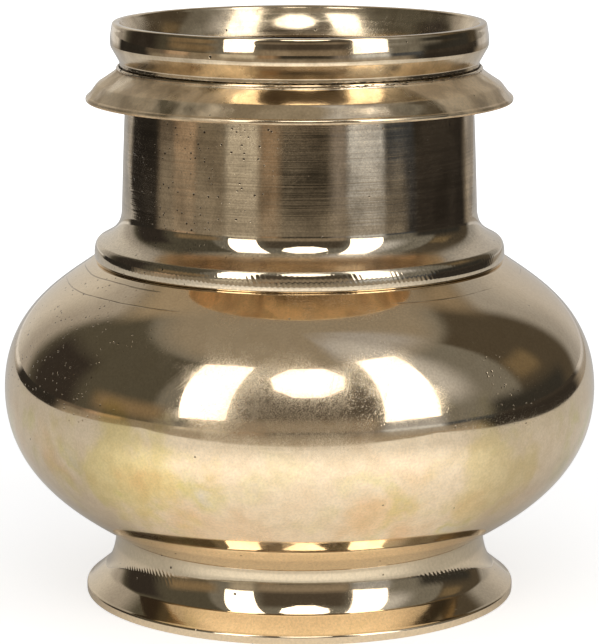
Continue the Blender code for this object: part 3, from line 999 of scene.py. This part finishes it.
# Table that the metal mirrors: left, right and front edges and their softness; half size of the floor
TABLE_LEFT = -0.46
TABLE_RIGHT = 0.33
TABLE_FRONT = -0.285
TABLE_SOFT = 0.012
FLOOR_HALF = 6.0

# Room that the metal mirrors, as soft windows: left, right, low and high angle, softness, colour
ROOM = (0.18, 0.18, 0.17)
ROOM_WINDOWS = (
    (-200.0, 200.0, 58.0, 100.0, 6.0, (0.275, 0.25, 0.21)),
    (28.0, 100.0, 62.0, 84.0, 8.0, (0.37, 0.38, 0.41)),
    (-150.0, -57.0, -20.0, 54.0, 2.5, (0.082, 0.079, 0.065)),
    (-126.0, -96.0, -20.0, 30.0, 6.0, (0.034, 0.030, 0.028)),
    (-85.0, -52.0, 2.0, 13.0, 5.0, (0.22, 0.17, 0.11)),
    (-42.0, -25.0, -8.0, 9.0, 4.0, (0.40, 0.37, 0.32)),
    (-25.0, 30.0, -20.0, 36.0, 6.0, (0.075, 0.065, 0.054)),
    (-25.0, 30.0, -20.0, 9.0, 4.0, (0.27, 0.232, 0.187)),
    (32.0, 56.0, -8.0, 8.0, 4.0, (0.38, 0.40, 0.44)),
    (38.0, 70.0, 18.0, 76.0, 10.0, (0.54, 0.56, 0.60)),
    (96.0, 150.0, -20.0, 55.0, 2.5, (0.075, 0.065, 0.050)),
    (78.0, 124.0, -20.0, 9.0, 5.0, (0.034, 0.034, 0.032)),
    (98.0, 114.0, 16.0, 29.0, 4.0, (0.17, 0.135, 0.085)),
    (136.0, 230.0, -20.0, 44.0, 4.0, (0.33, 0.33, 0.33)),
    (148.0, 230.0, -20.0, 36.0, 8.0, (0.52, 0.51, 0.50)),
    (-230.0, -132.0, -20.0, 46.0, 5.0, (0.36, 0.35, 0.34)),
    (-230.0, -146.0, -20.0, 36.0, 8.0, (0.60, 0.59, 0.57)),
    (-230.0, -128.0, 46.0, 64.0, 6.0, (0.33, 0.285, 0.22)),
    (134.0, 230.0, 44.0, 60.0, 6.0, (0.30, 0.25, 0.185)),
)

# Floor beyond the table, as sectors: left and right angle, softness, colour; far off, and close to the table
ALL_HEIGHTS = (-90.0, 90.0)
FAR_FLOOR = (0.028, 0.026, 0.022)
FAR_SECTORS = (
    (-138.0, -103.0, 4.0, (0.020, 0.019, 0.018)),
    (-103.0, -87.0, 4.0, (0.10, 0.085, 0.07)),
    (-87.0, -68.0, 4.0, (0.30, 0.23, 0.17)),
    (-68.0, -48.0, 4.0, (0.20, 0.175, 0.14)),
    (-48.0, -25.0, 3.0, (0.42, 0.40, 0.355)),
    (-25.0, -13.0, 4.0, (0.22, 0.16, 0.11)),
    (20.0, 31.0, 4.0, (0.16, 0.15, 0.15)),
    (31.0, 56.0, 3.0, (0.43, 0.465, 0.52)),
    (56.0, 78.0, 4.0, (0.045, 0.052, 0.065)),
    (80.0, 134.0, 4.0, (0.030, 0.027, 0.024)),
    (136.0, 230.0, 4.0, (0.40, 0.40, 0.41)),
    (-230.0, -139.0, 4.0, (0.50, 0.50, 0.50)),
)
NEAR_FLOOR = (0.35, 0.315, 0.265)
NEAR_SECTORS = (
    (-139.0, -100.0, 5.0, (0.035, 0.032, 0.030)),
    (70.0, 131.0, 5.0, (0.035, 0.032, 0.030)),
)


def soft_window():
    """Mask of a soft-edged window between two bearings and two elevations."""
    group, given, result = effect("soft window", {"Bearing": 0.0, "Elevation": 0.0, "Left": 0.0, "Right": 0.0,
                                                  "Low": 0.0, "High": 0.0, "Soft": 1.0})
    wide = between(group, given["Bearing"], given["Left"], given["Right"], given["Soft"])
    tall = between(group, given["Elevation"], given["Low"], given["High"], given["Soft"])
    group.links.new(times(group, tall, wide), result["Mask"])


def light_world(stage):
    """White to the eye, a plain studio room to the metal, even fill light to everything else."""
    world = bpy.data.worlds.new("studio")
    bpy.context.scene.world = world
    world.use_nodes = True
    tree = world.node_tree
    parts = split(tree, add(tree, "ShaderNodeTexCoord")["Generated"])
    bearing = calc(tree, "DEGREES", turn(tree, parts))
    elevation = calc(tree, "DEGREES", calc(tree, "ARCSINE", parts[2]))
    room = solid(ROOM)
    for *limits, colour in ROOM_WINDOWS:
        room = blend(tree, use(tree, "soft window", bearing, elevation, *limits)[0], room, solid(colour))
    path = add(tree, "ShaderNodeLightPath")
    looked = calc(tree, "MAXIMUM", path["Is Camera Ray"], path["Is Transmission Ray"])
    seen = blend(tree, path["Is Glossy Ray"], solid([stage.fill] * 3), room)
    seen = blend(tree, looked, seen, solid([1.0] * 3))
    put(tree, tree.nodes["Background"], {"Color": seen, "Strength": 1.0})


def blank(name):
    """A new material without nodes; returns it and its tree."""
    material = bpy.data.materials.new(name)
    material.use_nodes = True
    material.node_tree.nodes.clear()
    return material, material.node_tree


def sectors(tree, bearing, ground, parts):
    """Colour of a floor with soft sectors around the pot."""
    tone = solid(ground)
    for left, right, soft, colour in parts:
        mask = use(tree, "soft window", bearing, 0.0, left, right, *ALL_HEIGHTS, soft)[0]
        tone = blend(tree, mask, tone, solid(colour))
    return tone


def table_surface(stage):
    """White table that keeps the pot's shadow; past its edges the metal sees the room's floor."""
    material, tree = blank("table_white")
    position = add(tree, "ShaderNodeTexCoord")["Object"]
    parts = split(tree, position)
    path = add(tree, "ShaderNodeLightPath")
    looked = calc(tree, "MAXIMUM", path["Is Camera Ray"], path["Is Transmission Ray"])
    away = length(tree, position)

    # The table lifts towards white for the eye, and by its side of the pot for the metal
    forward = calc(tree, "DIVIDE", times(tree, parts[1], -1.0), away)
    shaded = times(tree, ramp(tree, away, 0.05, 0.13, 0.45, 1.0), ramp(tree, away, 0.12, 0.24, 1.0, 0.40))
    mirrored = calc(tree, "MAXIMUM", ramp(tree, forward, 0.2, 0.95, stage.side_lift, stage.front_lift),
                    ramp(tree, forward, -0.8, -0.3, stage.back_lift, stage.side_lift))
    mirrored = times(tree, mirrored, shaded, path["Is Glossy Ray"])
    viewed = ramp(tree, away, 0.10, 0.60, stage.table_lift, 1.0)
    lift = calc(tree, "ADD", times(tree, viewed, looked), mirrored)
    white = add(tree, "ShaderNodeEmission", {"Strength": lift})[0]
    matt = add(tree, "ShaderNodeBsdfDiffuse", {"Color": solid(stage.table)})[0]
    table = add(tree, "ShaderNodeAddShader", {0: matt, 1: white})[0]

    # Beyond the edges the near floor passes into the far floor in two steps
    wide = between(tree, parts[0], TABLE_LEFT, TABLE_RIGHT, TABLE_SOFT)
    inside = times(tree, wide, ramp(tree, parts[1], TABLE_FRONT - TABLE_SOFT, TABLE_FRONT + TABLE_SOFT))
    outside = times(tree, calc(tree, "SUBTRACT", 1.0, inside), path["Is Glossy Ray"])
    bearing = calc(tree, "DEGREES", turn(tree, parts))
    far = sectors(tree, bearing, FAR_FLOOR, FAR_SECTORS)
    far = tinted(tree, far, ramp(tree, away, 0.70, 1.60, 0.80, 1.45))
    near = sectors(tree, bearing, NEAR_FLOOR, NEAR_SECTORS)
    farther = calc(tree, "ADD", ramp(tree, away, 0.40, 0.66, 0.0, 0.35),
                   ramp(tree, away, 0.85, 1.50, 0.0, 0.65))
    beyond = add(tree, "ShaderNodeEmission", {"Color": blend(tree, farther, near, far)})[0]
    mixed = add(tree, "ShaderNodeMixShader", {0: outside, 1: table, 2: beyond})[0]
    add(tree, "ShaderNodeOutputMaterial", {"Surface": mixed})
    return material


def lamp_cloth(stage):
    """Glowing front of a soft lamp."""
    material, tree = blank("lamp_cloth")
    glow = add(tree, "ShaderNodeEmission", {"Color": solid(LAMP_COLOUR), "Strength": stage.lamps})[0]
    add(tree, "ShaderNodeOutputMaterial", {"Surface": glow})
    return material


def stage_panel(name, corners, material):
    """A flat panel of the stage with the given corners."""
    bm = bmesh.new()
    bm.faces.new([bm.verts.new(point) for point in corners])
    mesh = bpy.data.meshes.new(name)
    bm.to_mesh(mesh)
    bm.free()
    mesh.materials.append(material)
    panel = bpy.data.objects.new(name, mesh)
    bpy.context.scene.collection.objects.link(panel)
    return panel


def round_lamp():
    """Corners of the many-sided lamp that faces the pot."""
    middle = Vector(ROUND_LAMP)
    facing = (AIM - middle).normalized()
    side = facing.cross(Vector((0.0, 0.0, 1.0))).normalized()
    upward = side.cross(facing)
    reach = 1.0 / math.cos(math.pi / ROUND_LAMP_SIDES)
    corners = []
    for step in range(ROUND_LAMP_SIDES):
        angle = math.tau * (step + 0.5) / ROUND_LAMP_SIDES
        corners.append(middle + side * (ROUND_LAMP_HALF[0] * reach * math.cos(angle))
                       + upward * (ROUND_LAMP_HALF[1] * reach * math.sin(angle)))
    return corners


class LOTA_OT_stage(bpy.types.Operator):
    """Set up the table, the room, the three soft lamps and the camera"""

    bl_idname = "lota.stage"
    bl_label = "Stage"

    def execute(self, context):
        scene = context.scene
        stage = scene.lota_stage
        soft_window()
        light_world(stage)
        half = FLOOR_HALF
        floor = [(-half, -half, 0.0), (half, -half, 0.0), (half, half, 0.0), (-half, half, 0.0)]
        stage_panel("table", floor, table_surface(stage))
        cloth = lamp_cloth(stage)
        for name, corners in (("left_lamp", LEFT_LAMP), ("right_lamp", RIGHT_LAMP),
                              ("round_lamp", round_lamp())):
            stage_panel(name, corners, cloth).visible_camera = False
        camera = bpy.data.objects.new("camera", bpy.data.cameras.new("camera"))
        camera.data.lens = CAMERA_LENS
        camera.data.clip_start = CAMERA_NEAREST
        pitch = math.radians(CAMERA_PITCH)
        camera.location = (0.0, -CAMERA_DISTANCE * math.cos(pitch),
                           CAMERA_TARGET + CAMERA_DISTANCE * math.sin(pitch))
        camera.rotation_euler = (math.radians(90.0) - pitch, 0.0, 0.0)
        scene.collection.objects.link(camera)
        scene.camera = camera
        scene.view_settings.view_transform = "Standard"
        return {"FINISHED"}


class LOTA_OT_metals(bpy.types.Operator):
    """Make the surface effects that the metals share"""

    bl_idname = "lota.metals"
    bl_label = "Surface effects"

    def execute(self, context):
        for maker in (turning_lines, hairlines, casting_pits, tool_chatter, soft_spot, scribed_line, stains,
                      height_band):
            maker()
        return {"FINISHED"}


class LOTA_OT_foot(bpy.types.Operator):
    """Turn the foot ring"""

    bl_idname = "lota.foot"
    bl_label = "Foot ring"

    def execute(self, context):
        casting("foot", foot_outline, "foot_finish", foot_brass, "foot_ring")
        return {"FINISHED"}


class LOTA_OT_belly(bpy.types.Operator):
    """Turn the two halves of the belly"""

    bl_idname = "lota.belly"
    bl_label = "Belly halves"

    def execute(self, context):
        casting("bowl", bowl_outline, "belly_finish", belly_brass, "lower_belly")
        casting("shoulder", shoulder_outline, "belly_finish", belly_brass, "upper_belly")
        return {"FINISHED"}


class LOTA_OT_neck(bpy.types.Operator):
    """Turn the neck with its base ring"""

    bl_idname = "lota.neck"
    bl_label = "Neck"

    def execute(self, context):
        casting("throat", neck_outline, "neck_finish", neck_brass, "neck")
        return {"FINISHED"}


class LOTA_OT_rim(bpy.types.Operator):
    """Turn the drip flange and the rim of the mouth"""

    bl_idname = "lota.rim"
    bl_label = "Flange and rim"

    def execute(self, context):
        casting("flange", flange_outline, "rim_finish", rim_brass, "drip_flange")
        casting("rim", rim_outline, "rim_finish", rim_brass, "mouth_rim")
        return {"FINISHED"}


class LOTA_OT_filler(bpy.types.Operator):
    """Run lumpy rings of filler into the seams"""

    bl_idname = "lota.filler"
    bl_label = "Filler rings"

    def execute(self, context):
        for node, rounding, section in FILLER_SECTIONS:
            outline = []
            for index, tip in enumerate(section):
                outline += corner(section[index - 1], tip, section[(index + 1) % len(section)], rounding)
            bm = turned(outline, FILLER_SEGMENTS)
            roughen(bm, context.scene.lota_shape.grit)
            piece(f"{node}_bead", bm, "filler_finish", filler_metal, node)
        return {"FINISHED"}


class LOTA_PT_panel(bpy.types.Panel):
    """Buttons and sizes of the lota"""

    bl_idname = "LOTA_PT_panel"
    bl_label = "Lota"
    bl_space_type = "VIEW_3D"
    bl_region_type = "UI"
    bl_category = "Lota"

    def draw(self, context):
        for step in STEPS:
            self.layout.operator(step.bl_idname)
        for group in (context.scene.lota_shape, context.scene.lota_finish, context.scene.lota_stage):
            box = self.layout.box()
            for name in group.bl_rna.properties.keys():
                if name not in ("rna_type", "name"):
                    box.prop(group, name)


STEPS = (LOTA_OT_stage, LOTA_OT_metals, LOTA_OT_foot, LOTA_OT_belly, LOTA_OT_neck, LOTA_OT_rim,
         LOTA_OT_filler)
CLASSES = (LotaShape, LotaFinish, LotaStage, *STEPS, LOTA_PT_panel)


def register():
    for item in CLASSES:
        bpy.utils.register_class(item)
    bpy.types.Scene.lota_shape = PointerProperty(type=LotaShape)
    bpy.types.Scene.lota_finish = PointerProperty(type=LotaFinish)
    bpy.types.Scene.lota_stage = PointerProperty(type=LotaStage)


def unregister():
    del bpy.types.Scene.lota_stage
    del bpy.types.Scene.lota_finish
    del bpy.types.Scene.lota_shape
    for item in reversed(CLASSES):
        bpy.utils.unregister_class(item)


def main():
    register()
    bpy.ops.lota.stage()
    bpy.ops.lota.metals()
    bpy.ops.lota.foot()
    bpy.ops.lota.belly()
    bpy.ops.lota.neck()
    bpy.ops.lota.rim()
    bpy.ops.lota.filler()


if __name__ == "__main__":
    main()
